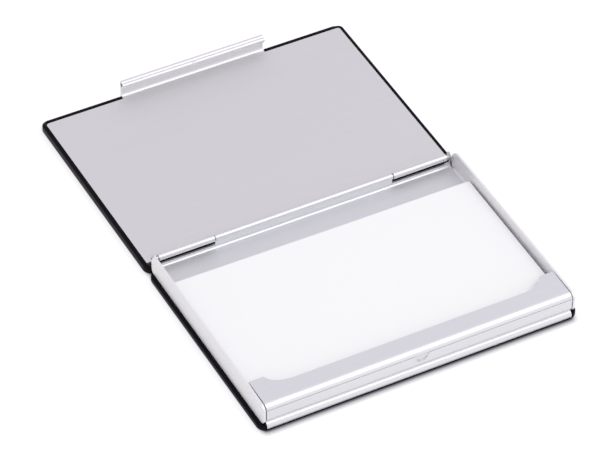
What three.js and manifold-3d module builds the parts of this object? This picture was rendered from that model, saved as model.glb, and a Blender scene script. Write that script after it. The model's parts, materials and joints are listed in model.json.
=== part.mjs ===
// A slim business card case, thrown open on a table. A shallow aluminium tray holds the cards under
// a folded-over front hook, and an aluminium lid with a snap lip turns on a hinge along the back edge.
// Both carry a padded black leatherette cover on the outside.
// X runs along the hinge, Y from the front hook to the lid, Z up. The origin is the middle of the
// base cover's underside. The lid lies open, flat on the same table.
import * as THREE from "three";
import { mergeVertices } from "three/addons/utils/BufferGeometryUtils.js";
import Module from "manifold-3d";

const wasm = await Module();
wasm.setup();

// Driving dimensions, in millimetres and degrees

// cards
const cardWidth = 90;
const cardDepth = 54;
const cardThickness = 0.31;
const cardCount = 9;
const cardAir = 0.02; // between two cards of the stack
const cardSideRoom = 0.65; // card edge to the tray's side wall
const cardFrontRoom = 0.15; // card edge to the front wall at its waist
const thumbRoom = 10.5; // behind the cards, to slide them out from under the hook
const topCardTurn = -0.55; // the top card lies slightly askew, its corner against the front
const stackTurn = 0.12; // how far the lower cards are turned, either way

// aluminium sections
const sheet = 0.6;
const trayHeight = 5.95; // inside, from the tray's floor to the top of the hook
const hookDepth = 10.55; // from the front face to the free edge of the hook
const hookDrop = 0.15; // the hook slopes this much down to the front bend
const frontBend = 2.15; // outer radius of the front bend
const latchBandDrop = 1.45; // from the hook's free edge down to the band that the lip snaps over
const latchBandInset = 0.25; // the band lies this far behind the front bend
const waistInset = 0.85; // the groove below the band, measured from the front bend
const waistRise = 1.25; // how far above the floor the wall starts to draw in to the groove
const skirtLift = 0.85; // the front skirt ends this far above the table
const bandLineHeight = 0.28; // fine line between the front bend and the band
const bandLineDepth = 0.22;
const rearBend = 0.8; // inner radius between the tray's floor and its rear wall
const wallLeft = 0.05; // straight wall that is left above the rear bend beside the knuckles

// finger cut-out in the hook
const cutoutTab = 4.5; // width of the tab that stays at each end of the hook
const cutoutDepth = 3.65;
const cutoutCorner = 8.5; // length of the curved corner along the hook

// scoop pressed into the middle of the latch band, and the bump on the lip that clicks into it
const scoopWidth = 4.3;
const scoopHeight = 2.75;
const scoopDepth = 0.45; // at its lower edge
const scoopShallow = 0.06; // at its upper edge
const scoopSkin = 0.3; // metal left behind the scoop
const bumpWidth = 2.2;
const bumpHeight = 1.2;
const bumpProud = 0.2;

// hinge
const pinRadius = 0.5;
const pinClearance = 0.1;
const baseKnuckleRadius = 0.85;
const lidKnuckleRadius = 0.95;
const hingeSetback = 0.25; // the axis lies this far behind the rear wall's face
const hingeWallGap = 0.3; // between the two rear walls when the lid lies open
const baseKnuckleLength = 54.4;
const hingeSideGap = 0.3; // between neighbouring knuckles
const hingeEndGap = 1.05; // between the lid's outer knuckles and the ears
const earWidth = 0.4; // end ears of the tray that keep the pin in
const earRadius = 1.4;

// lid
const lidClearance = 0.45; // closed lid to the hook's top
const lidBend = 1.15; // inner radius between the lid's plate and its rear wall
const lidOverhang = 0.45; // closed plate past the front bend
const lidTabInset = 0.25; // the plate's near corners stand back from the foot of the wall's bend
const lidCorner = 0.8;
const reliefWidth = 0.5; // notch at each end of the lid's rear wall
const reliefDepth = 1.2;

// latch lip along the lid's far edge
const lipGap = 1.85; // closed lip's wall to the front bend
const lipLength = 44.8;
const lipWall = 0.55;
const lipFillet = 1.3; // concave, between the plate and the lip
const lipHeight = 5.3; // from the plate to the top of the rolled hem
const hemSheet = 0.45;
const hemBulge = 1.5; // the hem's nose stands this far in from the lip's wall
const hemNose = 0.7; // the nose lies this far below the hem's top
const hemDepth = 2.1; // the hem's free edge ends this far below its top
const creaseWidth = 0.35; // line pressed into the hem above its nose
const creaseDepth = 0.2;

// end caps
const capWall = 0.6;
const capSeam = 0.2;
const capNose = 3.1; // radius of the rear top corner
const capToe = 1.85; // radius of the front lower corner
const capFillet = 0.5; // concave edge strip that lies on the tray's floor
const capRearInset = 0.75; // the caps end this far in front of the rear wall's outer face
const capFootWidth = 4.9;
const capFootInset = 3.4; // the foot stops this far from both ends of the tray's floor

// padded covers
const coverProud = 1.2; // past the end caps
const coverFrontProud = 2.1; // past the lid's plate
const coverToe = 0.3; // the base cover stands this far in front of the skirt
const coverHingeGap = 0.4; // between the two covers when the lid lies open
const coverCorner = 2.6;
const coverSkin = 0.5;
const coverRim = 1.1;
const coverEdge = 1.1; // radius of the outer edge
const coverTopEdge = 0.5;
const foamThickness = 0.5;
const boardThickness = 1.1;
const glue = 0.05;
const skirtClearance = 0.12;

// Heights that follow
const coverHeight = coverSkin + glue + foamThickness + glue + boardThickness;
const floorUnder = coverHeight + glue;
const floorTop = floorUnder + sheet;
const hookTop = floorTop + trayHeight;
const hingeZ = (hookTop + lidClearance + floorTop) / 2;
const latchBandTop = hookTop - latchBandDrop;

// Depths that follow, measured from the front bend
const waistInside = waistInset + sheet;
const cardFront = waistInside + cardFrontRoom;
const rearWallFace = cardFront + cardDepth + thumbRoom;
const hingeY = rearWallFace + hingeSetback;
const coverRear = hingeY - coverHingeGap / 2;
const frontY = -coverRear / 2;

// Widths that follow
const trayHalf = cardWidth / 2 + cardSideRoom;
const capInner = trayHalf + capSeam;
const capOuter = capInner + capWall;
const coverHalf = capOuter + coverProud;
const baseKnuckleHalf = baseKnuckleLength / 2;
const earInner = trayHalf - earWidth;
const lidKnuckleInner = baseKnuckleHalf + hingeSideGap;
const lidKnuckleOuter = earInner - hingeEndGap;

// Lid places, measured from the hinge axis with the lid open
const lidPlateTop = floorTop - hingeZ;
const lidPlateUnder = lidPlateTop - sheet;
const lidWallOuter = sheet - hingeSetback + hingeWallGap;
const lidWallInner = lidWallOuter + sheet;
const lidPlateNear = lidWallInner + lidBend;
const lipInner = hingeY + lipGap;
const lipOuter = lipInner + lipWall;
const lidPlateFar = hingeY + lidOverhang;

const materials = {
  aluminium: { color: 0xc8c7cd, roughness: 0.38, metalness: 1.0 },
  endCap: { color: 0xdcdce2, roughness: 0.5, metalness: 0.7 },
  steel: { color: 0xb4b4ba, roughness: 0.3, metalness: 1.0 },
  leatherette: { color: 0x131214, roughness: 0.55, metalness: 0.0 },
  foam: { color: 0x3b3b40, roughness: 0.95, metalness: 0.0 },
  board: { color: 0x8d8479, roughness: 0.9, metalness: 0.0 },
  card: { color: 0xf5f4f8, roughness: 0.7, metalness: 0.0 },
};

function named(name, geometry, material) {
  const mesh = new THREE.Mesh(geometry, new THREE.MeshStandardMaterial(materials[material]));
  mesh.name = name;
  return mesh;
}

// Outlines

// collects an outline's points, and where two stretches meet they share one point
class Outline {
  constructor() {
    this.points = [];
  }

  to(x, y) {
    const last = this.points.at(-1);
    if (!last || Math.hypot(last.x - x, last.y - y) > 1e-4) this.points.push(new THREE.Vector2(x, y));
    return this;
  }

  arc(x, y, radius, from, to, steps) {
    for (let i = 0; i <= steps; i++) {
      const angle = THREE.MathUtils.degToRad(from + ((to - from) * i) / steps);
      this.to(x + radius * Math.cos(angle), y + radius * Math.sin(angle));
    }
    return this;
  }

  curve(curve, steps) {
    for (const point of curve.getPoints(steps)) this.to(point.x, point.y);
    return this;
  }

  shape() {
    return new THREE.Shape(this.points);
  }
}

function circle(x, y, radius, steps) {
  const turn = 360 / steps;
  return new Outline().arc(x, y, radius, 0, 360 - turn, steps - 1).shape();
}

function rectangle(x0, y0, x1, y1) {
  return new Outline().to(x0, y0).to(x1, y0).to(x1, y1).to(x0, y1).shape();
}

// a sheet of one thickness, bent along a curve
function strip(curve, thickness, steps) {
  const left = [];
  const right = [];
  for (let i = 0; i <= steps; i++) {
    const point = curve.getPointAt(i / steps);
    const tangent = curve.getTangentAt(i / steps);
    const side = new THREE.Vector2(-tangent.y, tangent.x).multiplyScalar(thickness / 2);
    left.push(point.clone().add(side));
    right.unshift(point.clone().sub(side));
  }
  return new THREE.Shape([...left, ...right]);
}

// Solids

// a section drawn in Y and Z, run along X
function alongX(shape, x0, x1) {
  const geometry = new THREE.ExtrudeGeometry(shape, { depth: x1 - x0, bevelEnabled: false });
  const axes = new THREE.Matrix4().makeBasis(
    new THREE.Vector3(0, 1, 0),
    new THREE.Vector3(0, 0, 1),
    new THREE.Vector3(1, 0, 0),
  );
  return geometry.applyMatrix4(axes).translate(x0, 0, 0);
}

// a section drawn in X and Z, run along Y
function alongY(shape, y0, y1) {
  const geometry = new THREE.ExtrudeGeometry(shape, { depth: y1 - y0, bevelEnabled: false });
  return geometry.rotateX(Math.PI / 2).translate(0, y1, 0);
}

// a plan drawn in X and Y, run up Z
function upZ(shape, z0, z1) {
  const geometry = new THREE.ExtrudeGeometry(shape, { depth: z1 - z0, bevelEnabled: false });
  return geometry.translate(0, 0, z0);
}

function ellipsoid(x, y, z, halfX, halfY, halfZ) {
  return new THREE.SphereGeometry(1, 20, 12).scale(halfX, halfY, halfZ).translate(x, y, z);
}

function toSolid(geometry) {
  geometry.deleteAttribute("normal");
  geometry.deleteAttribute("uv");
  const merged = mergeVertices(geometry, 1e-5);
  return new wasm.Manifold(
    new wasm.Mesh({
      numProp: 3,
      vertProperties: new Float32Array(merged.attributes.position.array),
      triVerts: new Uint32Array(merged.index.array),
    }),
  );
}

function toGeometry(solid) {
  const mesh = solid.getMesh();
  const geometry = new THREE.BufferGeometry();
  geometry.setAttribute("position", new THREE.BufferAttribute(mesh.vertProperties, 3));
  geometry.setIndex(new THREE.BufferAttribute(mesh.triVerts, 1));
  geometry.computeVertexNormals();
  return geometry;
}

function joined(...geometries) {
  return geometries.map(toSolid).reduce((whole, piece) => whole.add(piece));
}

function cut(solid, ...geometries) {
  return geometries.map(toSolid).reduce((whole, piece) => whole.subtract(piece), solid);
}

// Tray

const bendCentreZ = hookTop - hookDrop - frontBend;
const bandAngle = 180 - THREE.MathUtils.radToDeg(Math.asin((latchBandTop - bendCentreZ) / frontBend));
const waistTop = floorTop + waistRise;
const waistBottom = floorTop;

// the outside of the front, from the hook's free edge round the bend and the latch band to the groove
function addFrontOutside(outline) {
  const lineFoot = latchBandTop - bandLineHeight;
  const drop = waistTop - waistBottom;
  const drawIn = new THREE.CubicBezierCurve(
    new THREE.Vector2(latchBandInset, waistTop),
    new THREE.Vector2(latchBandInset, waistTop - drop / 2),
    new THREE.Vector2(waistInset, waistBottom + drop / 3),
    new THREE.Vector2(waistInset, waistBottom),
  );
  return outline
    .to(hookDepth, hookTop)
    .arc(frontBend, bendCentreZ, frontBend, 90, bandAngle, 12)
    .to(latchBandInset + bandLineDepth, latchBandTop)
    .to(latchBandInset + bandLineDepth, lineFoot)
    .to(latchBandInset, lineFoot)
    .curve(drawIn, 7);
}

// the whole section, with the low rear wall that runs beside the knuckles
function traySection() {
  const flare = new THREE.CubicBezierCurve(
    new THREE.Vector2(waistInset, waistBottom),
    new THREE.Vector2(waistInset, waistBottom - sheet * 0.75),
    new THREE.Vector2(0, waistBottom - sheet * 0.6),
    new THREE.Vector2(0, waistBottom - sheet * 2.4),
  );
  const wallTop = floorTop + rearBend + wallLeft;
  const bendZ = floorTop + rearBend;
  const bendY = rearWallFace - rearBend;
  const innerBend = frontBend - sheet;
  return addFrontOutside(new Outline())
    .curve(flare, 9)
    .to(0, skirtLift)
    .to(sheet, skirtLift)
    .to(waistInside, floorUnder)
    .arc(bendY, bendZ, rearBend + sheet, -90, 0, 10)
    .to(rearWallFace + sheet, wallTop)
    .to(rearWallFace, wallTop)
    .arc(bendY, bendZ, rearBend, 0, -90, 10)
    .to(waistInside, floorTop)
    .to(waistInside, floorTop + waistRise / 3)
    .to(latchBandInset + sheet, waistTop)
    .arc(latchBandInset + sheet + innerBend, bendCentreZ, innerBend, 180, 90, 10)
    .to(hookDepth, hookTop - sheet)
    .shape();
}

// wall and barrel of a knuckle: the wall runs up into the barrel, and leans in if it stands further out
function knuckleSection(wallFrom, wallTo, wallBottom, y, z, radius) {
  const lean = Math.max(0, wallTo - y - radius);
  const wall = new Outline()
    .to(wallFrom, wallBottom)
    .to(wallTo, wallBottom)
    .to(wallTo - lean, z)
    .to(wallFrom - lean, z)
    .shape();
  return [wall, circle(y, z, radius, 32)];
}

// the finger cut-out: straight along the middle, curved up to a tab at each end
function cutoutPlan() {
  const half = trayHalf - cutoutTab;
  const edge = hookDepth - cutoutDepth;
  const corner = (side) =>
    new THREE.CubicBezierCurve(
      new THREE.Vector2(side * half, hookDepth),
      new THREE.Vector2(side * (half - cutoutCorner * 0.08), hookDepth - cutoutDepth * 0.66),
      new THREE.Vector2(side * (half - cutoutCorner * 0.35), edge),
      new THREE.Vector2(side * (half - cutoutCorner), edge),
    );
  const right = corner(1).getPoints(14).reverse();
  const plan = new Outline().curve(corner(-1), 14);
  for (const point of right) plan.to(point.x, point.y);
  return plan.to(half, hookDepth + 1).to(-half, hookDepth + 1).shape();
}

// half an oval that hangs from the top of the latch band, run along Y and leaning in towards its lower edge
function scoopPrism(skin, from, to) {
  const outline = new Outline();
  for (let i = 0; i <= 16; i++) {
    const angle = Math.PI * (1 + i / 16);
    const x = (scoopWidth / 2 + skin) * Math.cos(angle);
    outline.to(x, latchBandTop + (scoopHeight + skin) * Math.sin(angle));
  }
  const lean = (scoopDepth - scoopShallow) / scoopHeight;
  const leaning = new THREE.Matrix4().makeShear(0, 0, 0, 0, 0, -lean);
  return alongY(outline.shape(), from, to).applyMatrix4(leaning).translate(0, lean * latchBandTop, 0);
}

function trayGeometry() {
  const wallFoot = floorTop + rearBend + wallLeft / 2;
  const wallBack = rearWallFace + sheet;
  const section = (radius) => knuckleSection(rearWallFace, wallBack, wallFoot, hingeY, hingeZ, radius);
  const scoopFloor = latchBandInset + scoopShallow;
  const pieces = [
    alongX(traySection(), -trayHalf, trayHalf),
    scoopPrism(scoopSkin, latchBandInset + sheet / 3, scoopFloor + scoopSkin),
  ];
  for (const shape of section(baseKnuckleRadius)) {
    pieces.push(alongX(shape, -baseKnuckleHalf, baseKnuckleHalf));
  }
  for (const shape of section(earRadius)) {
    pieces.push(alongX(shape, -trayHalf, -earInner));
    pieces.push(alongX(shape, earInner, trayHalf));
  }
  const bore = circle(hingeY, hingeZ, pinRadius + pinClearance, 20);
  const solid = cut(
    joined(...pieces),
    alongX(bore, -earInner, earInner),
    upZ(cutoutPlan(), hookTop - 2 * sheet, hookTop + 1),
    scoopPrism(0, -1, scoopFloor),
  );
  return toGeometry(solid);
}

// End caps: a thin side wall that closes the tray's open end, on a foot that lies under the tray's floor

const capRear = rearWallFace + sheet - capRearInset;

// follows the hook's slope and the front bend, then comes straight down to a round toe
function capOutline() {
  const heel = rearBend + sheet;
  return new Outline()
    .to(hookDepth, hookTop)
    .arc(frontBend, bendCentreZ, frontBend, 90, bandAngle, 12)
    .arc(latchBandInset + capToe, floorUnder + capToe, capToe, 180, 270, 12)
    .arc(capRear - heel, floorUnder + heel, heel, -90, 0, 10)
    .arc(capRear - capNose, hookTop - capNose, capNose, 0, 90, 14)
    .shape();
}

// the strip in the corner between the wall and the tray's floor, drawn in X and Z
function capFilletShape(side) {
  const inner = side * capInner;
  const lap = side * capWall * 0.5;
  return new Outline()
    .to(inner + lap, floorTop)
    .to(inner + lap, floorTop + capFillet)
    .arc(inner - side * capFillet, floorTop + capFillet, capFillet, side > 0 ? 360 : 180, 270, 5)
    .shape();
}

function capGeometry(side) {
  const from = side > 0 ? capInner : -capOuter;
  const footFrom = side > 0 ? capOuter - capFootWidth - capWall : -capOuter;
  const footTo = side > 0 ? capOuter : capFootWidth + capWall - capOuter;
  const footUnder = coverSkin + foamThickness + 3 * glue;
  const footEnd = rearWallFace - rearBend - capFootInset;
  const bridgeTop = floorTop - sheet / 4;
  const filletFrom = waistInside + capFillet;
  const filletTo = capRear - sheet - rearBend;
  const solid = joined(
    alongX(capOutline(), from, from + capWall),
    alongY(capFilletShape(side), filletFrom, filletTo),
    alongY(rectangle(footFrom, footUnder, footTo, coverHeight), waistInside + capFootInset, footEnd),
    alongY(rectangle(from, coverHeight - sheet, from + capWall, bridgeTop), waistInside + capFootInset, footEnd),
  );
  return toGeometry(solid);
}

// Lid

// the lip's foot and wall, with the concave bend that runs up out of the plate
function lipWallSection() {
  const foot = lipInner - lipFillet;
  const bendZ = lidPlateTop + lipFillet;
  return new Outline()
    .to(foot - sheet, lidPlateUnder)
    .to(lipOuter, lidPlateUnder)
    .to(lipOuter, lidPlateTop + lipHeight - hemDepth)
    .to(lipInner, lidPlateTop + lipHeight - hemDepth)
    .arc(foot, bendZ, lipFillet, 0, -90, 12)
    .to(foot - sheet, lidPlateTop)
    .shape();
}

// middle of the hem's sheet where it folds over, and how far in it reaches from there
const hemTop = lidPlateTop + lipHeight - hemSheet / 2;
const hemBack = lipOuter - hemSheet / 2;
const hemReach = lipWall + hemBulge - hemSheet;

// the top of the wall folds over inwards and rolls back under itself as an open hem
function hemSection() {
  const at = (reach, drop) => new THREE.Vector2(hemBack - hemReach * reach, hemTop - hemNose * drop);
  const line = new THREE.SplineCurve([
    new THREE.Vector2(hemBack, hemTop - hemDepth - hemSheet),
    new THREE.Vector2(hemBack, hemTop - hemDepth),
    new THREE.Vector2(hemBack + hemSheet * 0.4, hemTop - hemDepth * 0.55),
    new THREE.Vector2(hemBack + hemSheet * 0.3, hemTop - hemDepth * 0.18),
    at(0.18, 0),
    at(0.5, 0.25),
    at(0.75, 0.6),
    at(0.95, 0.85),
    at(1, 1.25),
    at(0.85, 1.7),
    at(0.58, 2.15),
    new THREE.Vector2(lipInner - hemSheet * 0.85, hemTop - hemDepth),
  ]);
  return strip(line, hemSheet, 60);
}

// a fine line pressed into the hem between its top and its nose
function hemCrease() {
  const y = hemBack - hemReach * 0.77;
  const z = hemTop - hemNose * 0.6 + hemSheet / 2 - creaseDepth;
  return new Outline()
    .to(y - 1.5 * creaseWidth, z + 5 * creaseDepth)
    .to(y, z)
    .to(y + 1.5 * creaseWidth, z + 5 * creaseDepth)
    .shape();
}

// the plate's plan, with small round corners at its far edge
function lidPlatePlan() {
  const half = capOuter;
  const near = lidPlateNear + lidTabInset;
  return new Outline()
    .to(-half, near)
    .to(half, near)
    .arc(half - lidCorner, lidPlateFar - lidCorner, lidCorner, 0, 90, 5)
    .arc(lidCorner - half, lidPlateFar - lidCorner, lidCorner, 90, 180, 5)
    .shape();
}

// the low rear wall along the whole hinge, bent up out of the plate
function lidWallSection() {
  const bendZ = lidPlateTop + lidBend;
  const lap = 2 * lidTabInset;
  return new Outline()
    .to(lidPlateNear + lap, lidPlateUnder)
    .arc(lidPlateNear, bendZ, lidBend + sheet, -90, -180, 10)
    .to(lidWallOuter, bendZ + wallLeft)
    .to(lidWallInner, bendZ + wallLeft)
    .arc(lidPlateNear, bendZ, lidBend, -180, -90, 10)
    .to(lidPlateNear + lap, lidPlateTop)
    .shape();
}

function lidGeometry() {
  const wallFoot = lidPlateTop + lidBend + wallLeft / 2;
  const bumpZ = hemTop - 1.2 * hemNose;
  const knuckle = knuckleSection(lidWallOuter, lidWallInner, wallFoot, 0, 0, lidKnuckleRadius);
  const pieces = [
    upZ(lidPlatePlan(), lidPlateUnder, lidPlateTop),
    alongX(lidWallSection(), -lidKnuckleOuter, lidKnuckleOuter),
    alongX(lipWallSection(), -lipLength / 2, lipLength / 2),
    alongX(hemSection(), -lipLength / 2, lipLength / 2),
    ellipsoid(0, lipInner - hemBulge + bumpProud, bumpZ, bumpWidth / 2, bumpProud * 2, bumpHeight / 2),
  ];
  for (const section of knuckle) {
    pieces.push(alongX(section, -lidKnuckleOuter, -lidKnuckleInner));
    pieces.push(alongX(section, lidKnuckleInner, lidKnuckleOuter));
  }
  const bore = circle(0, 0, pinRadius + pinClearance, 20);
  const cuts = [
    alongX(bore, -lidKnuckleOuter - 1, lidKnuckleOuter + 1),
    alongX(hemCrease(), -lipLength / 2 - 1, lipLength / 2 + 1),
  ];
  for (const x of [-lidKnuckleOuter - reliefWidth, lidKnuckleOuter]) {
    const notch = rectangle(x, lidPlateNear - 1, x + reliefWidth, lidPlateNear + lidTabInset + reliefDepth);
    cuts.push(upZ(notch, lidPlateUnder - 1, lidPlateTop + 1));
  }
  return toGeometry(cut(joined(...pieces), ...cuts));
}

// Padded covers

// points round a rectangle with round corners, seen from above
function roundedRing({ half, front, rear, corner, z }) {
  const ring = [];
  const centres = [
    [half - corner, rear - corner, 0],
    [corner - half, rear - corner, 90],
    [corner - half, front + corner, 180],
    [half - corner, front + corner, 270],
  ];
  for (const [x, y, start] of centres) {
    for (let i = 0; i <= 5; i++) {
      const angle = THREE.MathUtils.degToRad(start + 18 * i);
      ring.push([x + corner * Math.cos(angle), y + corner * Math.sin(angle), z]);
    }
  }
  return ring;
}

// skins rings of equal length one after another, and closes the first and the last
function loft(rings) {
  const count = rings[0].length;
  const positions = rings.flat(2);
  const index = [];
  for (let r = 0; r + 1 < rings.length; r++) {
    for (let i = 0; i < count; i++) {
      const a = r * count + i;
      const b = r * count + ((i + 1) % count);
      index.push(a, b, b + count, a, b + count, a + count);
    }
  }
  const last = (rings.length - 1) * count;
  for (let i = 1; i + 1 < count; i++) {
    index.push(0, i + 1, i);
    index.push(last, last + i, last + i + 1);
  }
  const geometry = new THREE.BufferGeometry();
  geometry.setAttribute("position", new THREE.Float32BufferAttribute(positions, 3));
  geometry.setIndex(index);
  geometry.computeVertexNormals();
  return geometry;
}

// a leatherette tray, open on top: flat underside, round outer edge, thin rim round the pocket
function coverRings(front, rear, pocketFront, pocketRear) {
  const inset = (by, z) => ({
    half: coverHalf - by,
    front: front + by,
    rear: rear - by,
    corner: coverCorner - by,
    z,
  });
  const outer = [];
  for (let i = 0; i <= 5; i++) {
    const angle = (Math.PI / 2) * (i / 5);
    outer.push(inset(coverEdge * (1 - Math.sin(angle)), coverEdge * (1 - Math.cos(angle))));
  }
  for (let i = 0; i <= 3; i++) {
    const angle = (Math.PI / 2) * (i / 3);
    const rise = coverHeight - coverTopEdge + coverTopEdge * Math.sin(angle);
    outer.push(inset(coverTopEdge * (1 - Math.cos(angle)), rise));
  }
  const pocket = (z) => ({
    half: coverHalf - coverRim,
    front: pocketFront,
    rear: pocketRear,
    corner: coverCorner - coverRim,
    z,
  });
  return [...outer, pocket(coverHeight), pocket(coverSkin)].map(roundedRing);
}

function plateIn(half, front, rear, z0, z1) {
  const corner = coverCorner - coverRim;
  const size = { half, front, rear, corner };
  return loft([roundedRing({ ...size, z: z0 }), roundedRing({ ...size, z: z1 })]);
}

const pocketHalf = coverHalf - coverRim;
const pocketGap = 0.1;
const foamUnder = coverSkin + glue;
const boardUnder = foamUnder + foamThickness + glue;
const basePocketFront = waistInside + coverRim;
const basePocketRear = coverRear - coverRim;

// the skirt of the tray comes down in front of the cover, so the cover steps back behind it
function baseCoverGeometry() {
  const notch = new Outline()
    .to(-1, skirtLift - glue)
    .to(sheet + skirtClearance, skirtLift - glue)
    .to(waistInside + skirtClearance, floorUnder)
    .to(-1, floorUnder)
    .shape();
  const body = toSolid(loft(coverRings(-coverToe, coverRear, basePocketFront, basePocketRear)));
  return toGeometry(cut(body, alongX(notch, -trayHalf - capSeam, trayHalf + capSeam)));
}

const lidCoverNear = coverHingeGap / 2;
const lidCoverFar = lidPlateFar + coverFrontProud;
const lidPocketNear = lidCoverNear + coverRim;
const lidPocketFar = lidPlateFar - coverRim / 2;

// Assembly

const cardCase = new THREE.Group();
cardCase.position.y = frontY;

const boardHalf = capOuter - capFootWidth - capWall - 0.2;
cardCase.add(named("base_cover", baseCoverGeometry(), "leatherette"));
const foamFront = basePocketFront + pocketGap;
const foamRear = basePocketRear - pocketGap;
cardCase.add(
  named(
    "base_padding",
    plateIn(pocketHalf - pocketGap, foamFront, foamRear, foamUnder, foamUnder + foamThickness),
    "foam",
  ),
);
cardCase.add(
  named("base_board", plateIn(boardHalf, foamFront, foamRear, boardUnder, boardUnder + boardThickness), "board"),
);
cardCase.add(named("tray_shell", trayGeometry(), "aluminium"));
cardCase.add(named("left_end_cap", capGeometry(-1), "endCap"));
cardCase.add(named("right_end_cap", capGeometry(1), "endCap"));

const pinHalf = earInner;
const pin = named("hinge_pin", alongX(circle(0, 0, pinRadius, 20), -pinHalf, pinHalf), "steel");
pin.position.set(0, hingeY, hingeZ);
cardCase.add(pin);

for (let i = 0; i < cardCount; i++) {
  const top = i === cardCount - 1;
  const turn = THREE.MathUtils.degToRad(top ? topCardTurn : stackTurn * Math.sin(2.4 * i));
  const lean = (cardWidth / 2) * Math.abs(Math.sin(turn));
  const front = top ? latchBandInset + sheet + glue + lean : cardFront;
  const card = named(`card_${i + 1}`, new THREE.BoxGeometry(cardWidth, cardDepth, cardThickness), "card");
  const level = floorTop + cardAir + i * (cardThickness + cardAir) + cardThickness / 2;
  card.position.set(0, front + cardDepth / 2, level);
  card.rotation.z = turn;
  cardCase.add(card);
}

const lid = new THREE.Group();
lid.position.set(0, hingeY, hingeZ);
cardCase.add(lid);

const lidRoom = pocketHalf - pocketGap;
const lidFoamNear = lidPocketNear + pocketGap;
const lidFoamFar = lidPocketFar - pocketGap;
const lidCover = loft(coverRings(lidCoverNear, lidCoverFar, lidPocketNear, lidPocketFar));
const lidFoam = plateIn(lidRoom, lidFoamNear, lidFoamFar, foamUnder, foamUnder + foamThickness);
const lidBoard = plateIn(lidRoom, lidFoamNear, lidFoamFar, boardUnder, boardUnder + boardThickness);
for (const [name, geometry, material] of [
  ["lid_cover", lidCover, "leatherette"],
  ["lid_padding", lidFoam, "foam"],
  ["lid_board", lidBoard, "board"],
]) {
  lid.add(named(name, geometry.translate(0, 0, -hingeZ), material));
}
lid.add(named("lid_shell", lidGeometry(), "aluminium"));

export default cardCase;
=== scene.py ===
import json
import math

import bmesh
import bpy
from mathutils import Matrix, Vector


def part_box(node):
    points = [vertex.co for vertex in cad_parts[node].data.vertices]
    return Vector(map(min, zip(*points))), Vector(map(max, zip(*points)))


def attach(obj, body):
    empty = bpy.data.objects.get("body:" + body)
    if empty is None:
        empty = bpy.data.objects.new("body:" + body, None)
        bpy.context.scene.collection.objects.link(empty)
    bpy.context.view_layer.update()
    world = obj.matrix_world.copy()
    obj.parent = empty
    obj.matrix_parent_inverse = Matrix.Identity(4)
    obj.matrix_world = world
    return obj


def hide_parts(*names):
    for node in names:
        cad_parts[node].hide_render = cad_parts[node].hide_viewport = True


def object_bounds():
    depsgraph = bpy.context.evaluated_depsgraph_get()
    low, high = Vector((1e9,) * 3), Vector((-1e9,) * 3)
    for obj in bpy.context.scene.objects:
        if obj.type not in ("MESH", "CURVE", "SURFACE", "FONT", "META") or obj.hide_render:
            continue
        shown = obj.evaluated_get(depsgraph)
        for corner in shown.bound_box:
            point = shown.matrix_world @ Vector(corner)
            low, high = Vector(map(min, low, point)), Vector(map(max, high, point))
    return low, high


mm = 0.001
weld = 0.0005 * mm  # corners closer together than this are one
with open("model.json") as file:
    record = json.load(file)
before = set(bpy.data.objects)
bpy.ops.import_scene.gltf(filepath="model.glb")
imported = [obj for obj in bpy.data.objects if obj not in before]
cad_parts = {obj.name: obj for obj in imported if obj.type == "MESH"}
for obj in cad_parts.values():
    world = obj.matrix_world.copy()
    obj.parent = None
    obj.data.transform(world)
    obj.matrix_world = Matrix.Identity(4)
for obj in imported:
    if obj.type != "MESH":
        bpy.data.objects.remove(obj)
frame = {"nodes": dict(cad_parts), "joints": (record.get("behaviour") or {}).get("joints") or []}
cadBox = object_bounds()
nodes = frame["nodes"]


# shader graphs; the owner of the nodes is a material or the world

def newMaterial(name, values):
    material = bpy.data.materials.new(name)
    material.use_nodes = True
    shader = material.node_tree.nodes["Principled BSDF"]
    for socket, value in values.items():
        shader.inputs[socket].default_value = value
    return material, shader


def addNode(owner, kind, **values):
    made = owner.node_tree.nodes.new(kind)
    for key, value in values.items():
        made.inputs[key].default_value = value
    return made


# a socket takes a number, or what another node puts out
def feed(owner, value, socket):
    if isinstance(value, bpy.types.NodeSocket):
        owner.node_tree.links.new(value, socket)
    else:
        socket.default_value = value


def calculated(owner, operation, *values):
    made = addNode(owner, "ShaderNodeMath")
    made.operation = operation
    for value, socket in zip(values, made.inputs):
        feed(owner, value, socket)
    return made.outputs[0]


# one axis of a place or of a direction
def axisOf(owner, which, axis):
    coordinates = addNode(owner, "ShaderNodeTexCoord")
    axes = addNode(owner, "ShaderNodeSeparateXYZ")
    feed(owner, coordinates.outputs[which], axes.inputs[0])
    return axes.outputs[axis]


# the place on the object in millimetres, stretched along each axis
def place(owner, scale):
    coordinates = addNode(owner, "ShaderNodeTexCoord")
    mapping = addNode(owner, "ShaderNodeMapping", Scale=[s / mm for s in scale])
    feed(owner, coordinates.outputs["Object"], mapping.inputs["Vector"])
    return mapping.outputs["Vector"]


def noise(owner, scale, detail, roughness):
    made = addNode(owner, "ShaderNodeTexNoise", Scale=1.0, Detail=detail, Roughness=roughness)
    feed(owner, place(owner, scale), made.inputs["Vector"])
    return made.outputs["Fac"]


def spread(owner, value, low, high, start=0.0, end=1.0):
    made = addNode(owner, "ShaderNodeMapRange")
    for key, number in (("From Min", start), ("From Max", end), ("To Min", low), ("To Max", high)):
        made.inputs[key].default_value = number
    feed(owner, value, made.inputs["Value"])
    return made.outputs["Result"]


def blended(owner, factor, low, high):
    made = addNode(owner, "ShaderNodeMix")
    for key, value in (("Factor", factor), ("A", low), ("B", high)):
        feed(owner, value, made.inputs[key])
    return made.outputs["Result"]


def mixedColor(owner, factor, low, high):
    made = addNode(owner, "ShaderNodeMix")
    made.data_type = "RGBA"
    made.inputs["A"].default_value = (*low, 1)
    made.inputs["B"].default_value = (*high, 1)
    feed(owner, factor, made.inputs["Factor"])
    return made.outputs["Result"]


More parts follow.
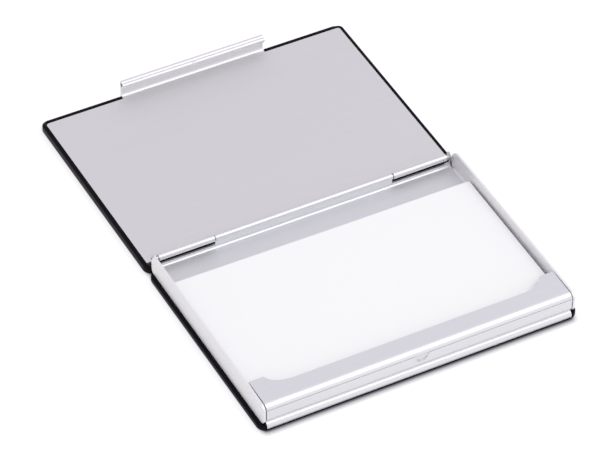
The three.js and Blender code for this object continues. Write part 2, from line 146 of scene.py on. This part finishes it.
def bump(material, shader, height, distance):
    made = addNode(material, "ShaderNodeBump", Distance=distance)
    feed(material, height, made.inputs["Height"])
    feed(material, made.outputs["Normal"], shader.inputs["Normal"])


aluminium = {
    "lid": {"low": (0.693, 0.683, 0.708), "high": (0.76, 0.75, 0.777)},
    "tray": {"low": (0.702, 0.702, 0.733), "high": (0.77, 0.77, 0.803)},
    "metallic": 0.75,  # its satin skin scatters the rest
    "bends": (0.30, 0.40),  # roughness: rolling and bending smooth the bends, the flats stay dull
    "flats": (0.50, 0.60),
    "level": (0.93, 0.985),  # how nearly level the surface is where bends end and flats begin
    "streaks": (0.02, 5.0, 5.0),  # long along the hinge, fine across it
    "noise": (4.0, 0.6),
    "grain": 0.002,
}


def aluminiumMaterial(name, tint):
    material, shader = newMaterial(name, {"Metallic": aluminium["metallic"]})
    streaks = noise(material, aluminium["streaks"], *aluminium["noise"])
    color = mixedColor(material, streaks, tint["low"], tint["high"])
    feed(material, color, shader.inputs["Base Color"])
    level = calculated(material, "ABSOLUTE", axisOf(material, "Normal", "Z"))
    flat = spread(material, level, 0, 1, *aluminium["level"])
    bends = spread(material, streaks, *aluminium["bends"])
    flats = spread(material, streaks, *aluminium["flats"])
    feed(material, blended(material, flat, bends, flats), shader.inputs["Roughness"])
    bump(material, shader, streaks, aluminium["grain"] * mm)
    return material


endCap = {
    "low": (0.74, 0.73, 0.75),
    "high": (0.9, 0.89, 0.91),
    "metallic": 0.45,
    "roughness": (0.45, 0.6),
    "cells": 4.0,  # grains in a millimetre
    "noise": (3.0, 0.6),
    "grain": 0.03,
}


def endCapMaterial():
    material, shader = newMaterial("grainedAluminium", {"Metallic": endCap["metallic"]})
    grain = noise(material, [endCap["cells"]] * 3, *endCap["noise"])
    color = mixedColor(material, grain, endCap["low"], endCap["high"])
    feed(material, color, shader.inputs["Base Color"])
    feed(material, spread(material, grain, *endCap["roughness"]), shader.inputs["Roughness"])
    bump(material, shader, grain, endCap["grain"] * mm)
    return material


leather = {
    "low": (0.0018, 0.0011, 0.0028),
    "high": (0.004, 0.003, 0.006),
    "roughness": (0.36, 0.5),
    "specular": 0.07,
    "pebble": 1.7,  # pebbles in a millimetre
    "grain": 0.05,
}


def leatherMaterial():
    material, shader = newMaterial("blackLeatherette", {"Specular IOR Level": leather["specular"]})
    cells = addNode(material, "ShaderNodeTexVoronoi", Scale=1.0)
    cells.feature = "SMOOTH_F1"
    feed(material, place(material, [leather["pebble"]] * 3), cells.inputs["Vector"])
    height = cells.outputs["Distance"]
    color = mixedColor(material, height, leather["high"], leather["low"])
    feed(material, color, shader.inputs["Base Color"])
    feed(material, spread(material, height, *leather["roughness"]), shader.inputs["Roughness"])
    bump(material, shader, height, -leather["grain"] * mm)
    return material


# plain materials: the grain has so many cells in a millimetre and is so many millimetres high
plain = {
    "foam": {"color": (0.05, 0.05, 0.055), "roughness": 0.9, "cells": 6.0, "grain": 0.05},
    "steel": {"color": (0.6, 0.6, 0.62), "roughness": 0.3, "cells": 8.0, "grain": 0.001},
    "blackBoard": {"color": (0.02, 0.02, 0.022), "roughness": 0.9, "cells": 5.0, "grain": 0.02},
    "cardStock": {"color": (0.88, 0.88, 0.905), "roughness": 0.6, "cells": 9.0, "grain": 0.003},
}
plainGrain = {"noise": (3.0, 0.5), "darker": 0.96, "uneven": 0.05}


def plainMaterial(name, metallic=0.0):
    values = plain[name]
    material, shader = newMaterial(name, {"Metallic": metallic})
    height = noise(material, [values["cells"]] * 3, *plainGrain["noise"])
    low = [plainGrain["darker"] * c for c in values["color"]]
    feed(material, mixedColor(material, height, low, values["color"]), shader.inputs["Base Color"])
    least, most = (values["roughness"] + sign * plainGrain["uneven"] for sign in (-1, 1))
    feed(material, spread(material, height, least, most), shader.inputs["Roughness"])
    bump(material, shader, height, values["grain"] * mm)
    return material


# meshes

def addObject(name, data):
    obj = bpy.data.objects.new(name, data)
    bpy.context.scene.collection.objects.link(obj)
    return obj


def meshObject(name, bm):
    mesh = bpy.data.meshes.new(name)
    bm.to_mesh(mesh)
    bm.free()
    return addObject(name, mesh)


def newPiece(name, bm, material, body):
    piece = meshObject(name, bm)
    piece.data.materials.append(material)
    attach(piece, body)
    return piece


# leaves the object with the mesh that its modifiers make
def settle(obj):
    graph = bpy.context.evaluated_depsgraph_get()
    made = bpy.data.meshes.new_from_object(obj.evaluated_get(graph))
    obj.modifiers.clear()
    obj.data = made


# smooth, but for edges bent by more than this many degrees
def smoothed(piece, degrees):
    piece.data.shade_smooth()
    piece.data.set_sharp_from_angle(angle=math.radians(degrees))


metalEdges = {
    "width": 0.09,
    "rounds": 2,
    "sharp": 32,  # degrees; a bend's own facets stay under it
    "flat": 1.0,
    "joint": 0.12,  # the tray stops so much short of each end cap, for the dark joint line
    "end": 0.01,  # corners as close as this to the far end belong to it
}


# bent and pressed metal: the frame's own form with its edges broken, flat where it is flat
def edgedCopy(name, material, body, joint=0):
    bm = bmesh.new()
    bm.from_mesh(nodes[name].data)
    bmesh.ops.remove_doubles(bm, verts=bm.verts, dist=weld)
    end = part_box(name)[1].x - metalEdges["end"] * mm
    for vert in bm.verts:
        if abs(vert.co.x) > end:
            vert.co.x -= math.copysign(joint * mm, vert.co.x)
    flat = math.radians(metalEdges["flat"])
    bmesh.ops.dissolve_limit(bm, angle_limit=flat, verts=bm.verts, edges=bm.edges)
    copy = newPiece(name + "_edged", bm, material, body)
    copy.data.shade_smooth()
    edges = copy.modifiers.new("edges", "BEVEL")
    edges.width = metalEdges["width"] * mm
    edges.segments = metalEdges["rounds"]
    edges.limit_method = "ANGLE"
    edges.angle_limit = math.radians(metalEdges["sharp"])
    edges.harden_normals = True
    weighted = copy.modifiers.new("weighted", "WEIGHTED_NORMAL")
    weighted.keep_sharp = True
    settle(copy)
    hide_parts(name)


# a rectangle with round corners, as a ring of points; every ring of one loft has as many
def roundedRing(half, front, rear, corner, z, steps):
    ring = []
    centres = (
        (half - corner, rear - corner, 0),
        (corner - half, rear - corner, 90),
        (corner - half, front + corner, 180),
        (half - corner, front + corner, 270),
    )
    for x, y, start in centres:
        for i in range(steps + 1):
            angle = math.radians(start + 90 * i / steps)
            ring.append((x + corner * math.cos(angle), y + corner * math.sin(angle), z))
    return ring


def loft(rings):
    bm = bmesh.new()
    rows = [[bm.verts.new(point) for point in ring] for ring in rings]
    for a, b in zip(rows, rows[1:]):
        for i in range(len(a)):
            k = (i + 1) % len(a)
            bm.faces.new((a[i], a[k], b[k], b[i]))
    bm.faces.new(rows[0][::-1])
    bm.faces.new(rows[-1])
    bmesh.ops.recalc_face_normals(bm, faces=bm.faces)
    return bm


# the padded covers, in millimetres
cover = {
    "section": [  # from the underside to the rim: how far in from the outer edge, and how high
        (22, 0), (10, 0.01), (5, 0.02), (3, 0.03), (1.2, 0.05), (0.7, 0.13), (0.4, 0.26),
        (0.18, 0.42), (0.05, 0.62), (0, 0.8), (0, 1.2), (0, 1.75), (0.05, 1.95), (0.15, 2.08),
        (0.35, 2.17), (0.6, 2.2),
    ],
    "corner": 2.6,
    "leastCorner": 0.4,
    "cornerGrowth": 0.5,  # rings further in than the corner have so much more of it per millimetre
    "cornerSteps": 10,
    "rim": 1.1,
    "farRim": 2.65,
    "skin": 0.5,
    "fill": 0.8,
    "sharp": 38,
    "lift": 0.7,  # the padding stands so much higher beside the lid's plate than at the hinge
    "farLift": 0.12,  # and so much beyond the plate's far edge
    "liftAbove": 1.2,  # what lies lower stays as it is
    "liftStart": 0.2,  # the lift begins so far from the hinge side
    "liftOver": 1.5,  # and is full so much further on
    "liftFar": 0.5,  # so far past the plate the lift at the sides begins to fall
    "liftPast": 2.6,  # and is gone so much further on
    "liftEdge": 0.3,  # width of the slope up beside the plate
}


def coverRings(low, high, pocketFront, pocketRear):
    half = high.x
    full = cover["corner"] * mm
    rings = []
    for inset, z in cover["section"]:
        by = inset * mm
        corner = max(full - by, cover["leastCorner"] * mm)
        corner += max(by - full, 0) * cover["cornerGrowth"]
        rings.append((half - by, low.y + by, high.y - by, corner, z * mm))
    inner = half - rim, pocketFront, pocketRear, (cover["corner"] - cover["rim"]) * mm
    rings.append((*inner, high.z))
    rings.append((*inner, cover["skin"] * mm))
    return [roundedRing(*ring, cover["cornerSteps"]) for ring in rings]


def ease(value):
    value = min(max(value, 0), 1)
    return value * value * (3 - 2 * value)


# the padding swells beside the plate, less beyond its far edge, and lies low at the hinge
def raiseRim(bm, low, high, pocketRear):
    base = cover["liftAbove"] * mm
    edge = cover["liftEdge"] * mm
    start = low.y + cover["liftStart"] * mm
    side = high.x - rim
    far = pocketRear + cover["liftFar"] * mm
    for vert in bm.verts:
        if vert.co.z > base:
            beside = cover["lift"] * ease((abs(vert.co.x) - side) / edge + 1)
            beside *= 1 - ease((vert.co.y - far) / (cover["liftPast"] * mm))
            beyond = cover["farLift"] * ease((vert.co.y - far) / edge)
            along = ease((vert.co.y - start) / (cover["liftOver"] * mm))
            share = along * (vert.co.z - base) / (high.z - base)
            vert.co.z += max(beside, beyond) * mm * share


def coverPiece(name, body, pocketFront, pocketRear):
    low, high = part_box(name)
    bm = loft(coverRings(low, high, pocketFront, pocketRear))
    if body == "lid":
        raiseRim(bm, low, high, pocketRear)
    piece = newPiece(name + "_padded", bm, leatherette, body)
    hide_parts(name)
    return piece


# the step in the base cover behind the tray's skirt, and where its pocket begins behind that
skirt = {"lift": 0.8, "foot": 0.72, "back": 1.57, "under": 2.25, "side": 0.2, "pocket": 2.55}


def cutSkirt(piece):
    trayLow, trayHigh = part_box("tray_shell")
    front, lift, under = trayLow.y, skirt["lift"] * mm, skirt["under"] * mm
    section = [
        (front - mm, lift),
        (front + skirt["foot"] * mm, lift),
        (front + skirt["back"] * mm, under),
        (front + skirt["back"] * mm, under + mm),
        (front - mm, under + mm),
    ]
    half = trayHigh.x + skirt["side"] * mm
    ends = [[(x, y, z) for y, z in section] for x in (-half, half)]
    cutter = meshObject("skirtNotch", loft(ends))
    notch = piece.modifiers.new("notch", "BOOLEAN")
    notch.operation = "DIFFERENCE"
    notch.solver = "EXACT"
    notch.object = cutter
    settle(piece)
    bpy.data.objects.remove(cutter)


# a thin sheet of the black leatherette laid on the outside of the metal's rear bend, seen from the
# hinge, which makes the slot beside each knuckle black
flap = {"thickness": 0.07, "below": 1.0, "within": 2.4, "leaning": 0.15}


# side is 1 on the lid's side of the hinge and -1 on the tray's
def flapPiece(name, metal, body, side):
    joint = next(joint for joint in frame["joints"] if joint["name"] == "lid_hinge")
    hinge = Vector(joint["pos_m"])
    bm = bmesh.new()
    bm.from_mesh(nodes[metal].data)
    other = []
    for face in bm.faces:
        at = face.calc_center_median() - hinge
        behind = at.z < -flap["below"] * mm and 0 < at.y * side < flap["within"] * mm
        if not (behind and -face.normal.y * side > flap["leaning"]):
            other.append(face)
    bmesh.ops.delete(bm, geom=other, context="FACES")
    bmesh.ops.remove_doubles(bm, verts=bm.verts, dist=weld)
    piece = newPiece(name, bm, leatherette, body)
    skin = piece.modifiers.new("skin", "SOLIDIFY")
    skin.thickness = flap["thickness"] * mm
    skin.offset = 1
    settle(piece)
    smoothed(piece, cover["sharp"])


# thin foam under the leatherette, its edges pressed round: how far in, and how high
padding = {
    "edge": [
        (0.5, 0.0), (0.2, 0.06), (0.05, 0.15), (0, 0.25), (0.05, 0.35), (0.2, 0.44), (0.5, 0.5),
    ],
    "corner": 1.5,
    "fill": 0.3,
}


def paddingPiece(name, body, material):
    low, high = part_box(name)
    rings = []
    for inset, z in padding["edge"]:
        by = inset * mm
        shape = (high.x - by, low.y + by, high.y - by, padding["corner"] * mm - by)
        rings.append(roundedRing(*shape, low.z + z * mm, cover["cornerSteps"]))
    piece = newPiece(name + "_foam", loft(rings), material, body)
    piece.data.shade_smooth()
    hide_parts(name)


# solids of the frame that stay as they are and only get their material
def dress(names, material):
    for name in names:
        obj = nodes[name]
        obj.data.materials.clear()
        obj.data.materials.append(material)


print("materials")
cardCount = 9
satinTray = aluminiumMaterial("satinTray", aluminium["tray"])
satinLid = aluminiumMaterial("satinLid", aluminium["lid"])
grained = endCapMaterial()
leatherette = leatherMaterial()
foam = plainMaterial("foam")
dress(["hinge_pin"], plainMaterial("steel", 1.0))
dress(["base_board", "lid_board"], plainMaterial("blackBoard"))
cards = [f"card_{i + 1}" for i in range(cardCount)]
dress(cards, plainMaterial("cardStock"))

print("metal")
edgedCopy("tray_shell", satinTray, "base", metalEdges["joint"])
edgedCopy("lid_shell", satinLid, "lid")
for name in ("left_end_cap", "right_end_cap"):
    edgedCopy(name, grained, "base")

print("covers")
rim = cover["rim"] * mm
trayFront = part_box("tray_shell")[0].y
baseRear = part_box("base_cover")[1].y
baseCover = coverPiece("base_cover", "base", trayFront + skirt["pocket"] * mm, baseRear - rim)
cutSkirt(baseCover)
lidLow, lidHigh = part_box("lid_cover")
lidCover = coverPiece("lid_cover", "lid", lidLow.y + rim, lidHigh.y - cover["farRim"] * mm)
for piece in (baseCover, lidCover):
    smoothed(piece, cover["sharp"])
flapPiece("base_rear_black_sheet", "tray_shell", "base", -1)
flapPiece("lid_rear_black_sheet", "lid_shell", "lid", 1)
paddingPiece("base_padding", "base", foam)
paddingPiece("lid_padding", "lid", foam)

# stage, light and camera

stage = {
    "floor": (0.95, 0.95, 0.95),
    "floorSize": 3.0,
    "floorDrop": 0.02,
    "floorRoughness": 0.9,
    "floorSpecular": 0.1,
    "seen": (0.12, 0.12, 0.12),  # how pale the camera finds the table, beside the table's own white
    "white": (0.93, 0.925, 0.945),
    # the darkest colour of the painted shadow on the table
    "shade": (0.03, 0.02, 0.05),
    "shadowReach": 2.0,
    "shadowPower": 2.2,
    "shadowLean": (-0.85, 0.45, 0.28),  # the painted shadow's occlusion is sought toward left and behind, so it lies mostly before the object
    "shadowBeside": 0.15,  # how much of the painted shadow stays beside the object rather than before it
    "shadowFade": 1.8,  # it fades so far in from the object's side
    "world": 0.87,
    "front": (1.0, 1.0, 1.0),  # what mirrored rays find of the studio before the object
    "back": (0.748, 0.716, 0.775),  # and behind it
    "blend": 0.3,
}
lamps = {
    "overhead": {
        "place": (0.27, -0.385, 0.92),
        "aim": (0.0, 0.03, 0),
        "size": (1.4, 0.56),
        "power": 3.6,
    },
}


# one for rays from the camera and for mirrored ones
def seenRay(owner):
    path = addNode(owner, "ShaderNodeLightPath")
    seen = path.outputs["Is Camera Ray"]
    for kind in ("Is Glossy Ray", "Is Transmission Ray"):
        seen = calculated(owner, "MAXIMUM", seen, path.outputs[kind])
    return seen


def makeWorld():
    world = bpy.data.worlds.new("studio")
    bpy.context.scene.world = world
    world.use_nodes = True
    lit = world.node_tree.nodes["Background"]
    lit.inputs["Color"].default_value = (1, 1, 1, 1)
    lit.inputs["Strength"].default_value = stage["world"]
    behind = spread(world, axisOf(world, "Generated", "Y"), 0, 1, -stage["blend"], stage["blend"])
    seen = addNode(world, "ShaderNodeBackground")
    feed(world, mixedColor(world, behind, stage["front"], stage["back"]), seen.inputs["Color"])
    mix = addNode(world, "ShaderNodeMixShader")
    for value, socket in zip((seenRay(world), lit.outputs[0], seen.outputs[0]), mix.inputs):
        feed(world, value, socket)
    feed(world, mix.outputs[0], world.node_tree.nodes["World Output"].inputs["Surface"])


# the painted shadow on the table, an ambient occlusion darkening close to the object: one where
# there is none, down to nought
def shadow(material):
    near = addNode(
        material,
        "ShaderNodeAmbientOcclusion",
        Distance=stage["shadowReach"] * mm,
        Normal=stage["shadowLean"],
    )
    shaded = calculated(material, "POWER", near.outputs["AO"], stage["shadowPower"])
    aside = calculated(material, "ABSOLUTE", axisOf(material, "Object", "X"))
    edge = cadBox[1][0]
    start = edge - stage["shadowFade"] * mm
    before = spread(material, aside, 1, stage["shadowBeside"], start, edge)
    return blended(material, before, 1, shaded)


# a pale table: it glows white to the camera, with a painted shadow darkening it close to the
# object, and keeps the lamp's shadow
def makeFloor():
    far = stage["floorSize"]
    corners = [(-far, -far, 0), (far, -far, 0), (far, far, 0), (-far, far, 0)]
    mesh = bpy.data.meshes.new("floor")
    mesh.from_pydata(corners, [], [(0, 1, 2, 3)])
    floor = addObject("floor", mesh)
    floor.location.z = -stage["floorDrop"] * mm
    values = {"Roughness": stage["floorRoughness"], "Specular IOR Level": stage["floorSpecular"]}
    material, shader = newMaterial("paleTable", values)
    seen = seenRay(material)
    color = mixedColor(material, seen, stage["floor"], stage["seen"])
    feed(material, color, shader.inputs["Base Color"])
    # the glow runs from white down to the painted shadow colour close to the object
    glowWithPaintedShadow = mixedColor(material, shadow(material), stage["shade"], stage["white"])
    feed(material, glowWithPaintedShadow, shader.inputs["Emission Color"])
    feed(material, seen, shader.inputs["Emission Strength"])
    mesh.materials.append(material)


def makeLamp(name, values):
    light = bpy.data.lights.new(name, "AREA")
    light.shape = "RECTANGLE"
    light.energy = values["power"]
    light.size, light.size_y = values["size"]
    lamp = addObject(name, light)
    lamp.location = values["place"]
    toward = Vector(values["aim"]) - Vector(values["place"])
    lamp.rotation_euler = toward.to_track_quat("-Z", "Y").to_euler()
    lamp.visible_camera = False


view = {
    "place": (-0.36989, -0.66150, 0.71746),
    "right": (0.885045, -0.465463, 0.006295),
    "down": (-0.310010, -0.599443, -0.737945),
    "forward": (0.347260, 0.651163, -0.674832),
    "sensor": 36,
    "lens": 229.26,
}


def makeCamera():
    data = bpy.data.cameras.new("camera")
    data.sensor_width = view["sensor"]
    data.lens = view["lens"]
    camera = addObject("camera", data)
    right, down, forward = (Vector(view[key]) for key in ("right", "down", "forward"))
    axes = Matrix((right, -down, -forward)).transposed()
    camera.matrix_world = Matrix.Translation(view["place"]) @ axes.to_4x4()
    bpy.context.scene.camera = camera


print("stage")
makeWorld()
makeFloor()
for name, values in lamps.items():
    makeLamp(name, values)
makeCamera()
bpy.context.scene.view_settings.view_transform = "Standard"
